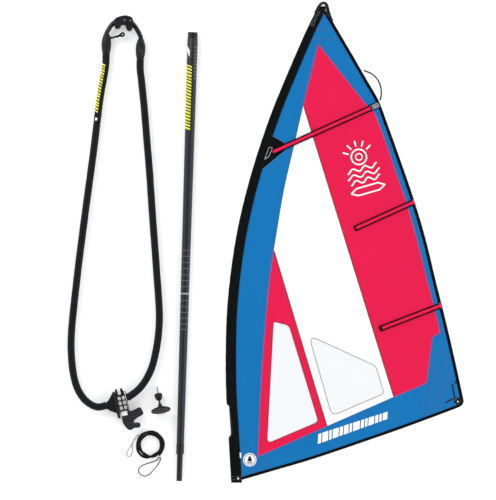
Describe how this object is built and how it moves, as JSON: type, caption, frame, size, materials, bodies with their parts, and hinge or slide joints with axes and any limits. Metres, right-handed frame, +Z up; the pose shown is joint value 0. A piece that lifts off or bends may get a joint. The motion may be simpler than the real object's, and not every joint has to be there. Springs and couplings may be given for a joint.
{
  "type": "windsurf rig kit",
  "caption": "Unassembled windsurf rig laid flat: three-colour battened sail, wishbone boom with clamp head, mast section, jointed mast foot and coiled uphaul rope.",
  "frame": {"origin": "middle of the laid-out kit's plan box, on the floor", "axes": "+Z up from the floor, +Y towards the head of the sail and the tail of the boom, +X from the boom towards the sail's leech"},
  "size_m": [1.9788, 2.4046, 0.0939],
  "materials": {
    "blue_cloth": "blue laminated sailcloth, low sheen",
    "red_cloth": "red laminated sailcloth, low sheen",
    "white_cloth": "white laminated sailcloth",
    "black_cloth": "black woven polyester",
    "window_film": "clear polyester window film over white",
    "batten_laminate": "flat glass-fibre batten",
    "sail_fitting": "grey moulded sail fitting",
    "eyelet_metal": "pressed steel eyelet",
    "thin_line": "thin black cord",
    "arm_tube": "black anodised tube",
    "grip": "closed-cell foam grip, matt",
    "clip_rubber": "rubber-coated clip",
    "moulded_black": "black glass-filled nylon moulding",
    "liner_white": "white moulded liner",
    "clamp_grey": "dark grey moulding",
    "sheave": "grey acetal sheave",
    "pin_steel": "stainless pin",
    "mast_laminate": "dark epoxy and glass-fibre laminate with a slight sheen",
    "foot_rubber": "black rubber",
    "rope": "black braided rope",
    "loop_cord": "dark grey cord",
    "pull_cord": "light grey cord"
  },
  "bodies": {
    "sail": {"luff_sleeve": "black_cloth", "batten_patch": "black_cloth", "luff_panel": "blue_cloth", "leech_panel": "blue_cloth", "red_main_panel": "red_cloth", "white_panel": "white_cloth", "red_front_panel": "red_cloth", "foot_panel": "blue_cloth", "clew_panel": "blue_cloth", "front_window": "window_film", "rear_window": "window_film", "leech_tape": "black_cloth", "foot_tape": "black_cloth", "head_webbing": "black_cloth", "batten_pocket_upper": "red_cloth", "batten_pocket_middle": "red_cloth", "batten_pocket_lower": "red_cloth", "batten_buckle": "sail_fitting", "tension_line": "thin_line", "clew_patch": "black_cloth", "clew_webbing": "black_cloth", "tack_grommet": "eyelet_metal", "clew_grommet": "eyelet_metal", "outhaul_grommet": "eyelet_metal", "tack_badge": "white_cloth"},
    "upper_batten": {"batten_upper": "batten_laminate", "batten_tensioner": "sail_fitting"},
    "middle_batten": {"batten_middle": "batten_laminate"},
    "lower_batten": {"batten_lower": "batten_laminate"},
    "boom": {"arm_tube_left": "arm_tube", "arm_tube_right": "arm_tube", "arm_grip_left": "grip", "arm_grip_right": "grip", "clip_left": "clip_rubber", "clip_right": "clip_rubber", "head_body": "moulded_black", "head_liner": "liner_white", "ladder_strap": "moulded_black", "jaw_pin": "pin_steel"},
    "boom_tail": {"tail_tube": "arm_tube", "tail_fitting": "moulded_black", "sheave_pin_left": "pin_steel", "sheave_pin_right": "pin_steel"},
    "left_sheave": {"tail_sheave_left": "sheave"},
    "right_sheave": {"tail_sheave_right": "sheave"},
    "left_clip_lever": {"lever_left": "moulded_black"},
    "right_clip_lever": {"lever_right": "moulded_black"},
    "jaw": {"clamp_jaw": "clamp_grey"},
    "jaw_lever": {"clamp_lever": "clamp_grey"},
    "mast": {"mast_tube": "mast_laminate", "mast_collar": "moulded_black", "mast_ferrule": "mast_laminate"},
    "mast_foot": {"deck_plate": "foot_rubber", "lower_cup": "moulded_black"},
    "foot_core": {"joint_core": "foot_rubber"},
    "foot_top": {"upper_cup": "moulded_black"},
    "foot_pin": {"base_pin": "pin_steel"},
    "uphaul": {"uphaul_rope": "rope", "large_loop": "loop_cord", "pull_cord": "pull_cord"}
  },
  "joints": [
    {"name": "boom_lift", "type": "slide", "parent": "sail", "child": "boom", "axis": [0, 0, 1], "range_m": [0, 0.25]},
    {"name": "mast_lift", "type": "slide", "parent": "sail", "child": "mast", "axis": [0, 0, 1], "range_m": [0, 0.25]},
    {"name": "foot_lift", "type": "slide", "parent": "sail", "child": "mast_foot", "axis": [0, 0, 1], "range_m": [0, 0.25]},
    {"name": "rope_lift", "type": "slide", "parent": "sail", "child": "uphaul", "axis": [0, 0, 1], "range_m": [0, 0.25]},
    {"name": "batten_slide_upper", "type": "slide", "parent": "sail", "child": "upper_batten", "axis": [0.9121, 0.4099, 0], "range_m": [0, 0.3]},
    {"name": "batten_slide_middle", "type": "slide", "parent": "sail", "child": "middle_batten", "axis": [0.9115, 0.4114, 0], "range_m": [0, 0.22]},
    {"name": "batten_slide_lower", "type": "slide", "parent": "sail", "child": "lower_batten", "axis": [0.9333, 0.359, 0], "range_m": [0, 0.22]},
    {"name": "boom_extend", "type": "slide", "parent": "boom", "child": "boom_tail", "axis": [0.026, 0.9997, 0], "range_m": [0, 0.08]},
    {"name": "sheave_spin_left", "type": "hinge", "parent": "boom_tail", "child": "left_sheave", "pos_m": [-0.73974, 1.07883, 0.03], "axis": [0, 0, 1], "continuous": true},
    {"name": "sheave_spin_right", "type": "hinge", "parent": "boom_tail", "child": "right_sheave", "pos_m": [-0.68124, 1.06933, 0.03], "axis": [0, 0, 1], "continuous": true},
    {"name": "clip_lever_left", "type": "hinge", "parent": "boom", "child": "left_clip_lever", "pos_m": [-0.76466, 1.02154, 0.03], "axis": [0, 0, 1], "range_deg": [-98, 0]},
    {"name": "clip_lever_right", "type": "hinge", "parent": "boom", "child": "right_clip_lever", "pos_m": [-0.62391, 0.99732, 0.06], "axis": [-0.9997, 0.026, 0], "range_deg": [0, 95]},
    {"name": "jaw_swing", "type": "hinge", "parent": "boom", "child": "jaw", "pos_m": [-0.70374, -0.87267, 0.03], "axis": [0, 0, 1], "range_deg": [-35, 0]},
    {"name": "jaw_lever_swing", "type": "hinge", "parent": "jaw", "child": "jaw_lever", "pos_m": [-0.67475, -0.91466, 0.03], "axis": [0, 0, 1], "range_deg": [-60, 10]},
    {"name": "foot_tilt_updown", "type": "hinge", "parent": "mast_foot", "child": "foot_core", "pos_m": [-0.53002, -0.79753, 0.03257], "axis": [0.9845, 0.1754, 0], "range_deg": [-60, 60]},
    {"name": "foot_tilt_side", "type": "hinge", "parent": "foot_core", "child": "foot_top", "pos_m": [-0.53002, -0.79753, 0.03257], "axis": [0.0583, -0.3273, -0.9431], "range_deg": [-60, 60]},
    {"name": "foot_pin_swivel", "type": "hinge", "parent": "foot_top", "child": "foot_pin", "pos_m": [-0.53002, -0.79753, 0.03257], "axis": [-0.1654, 0.9285, -0.3325], "continuous": true}
  ]
}
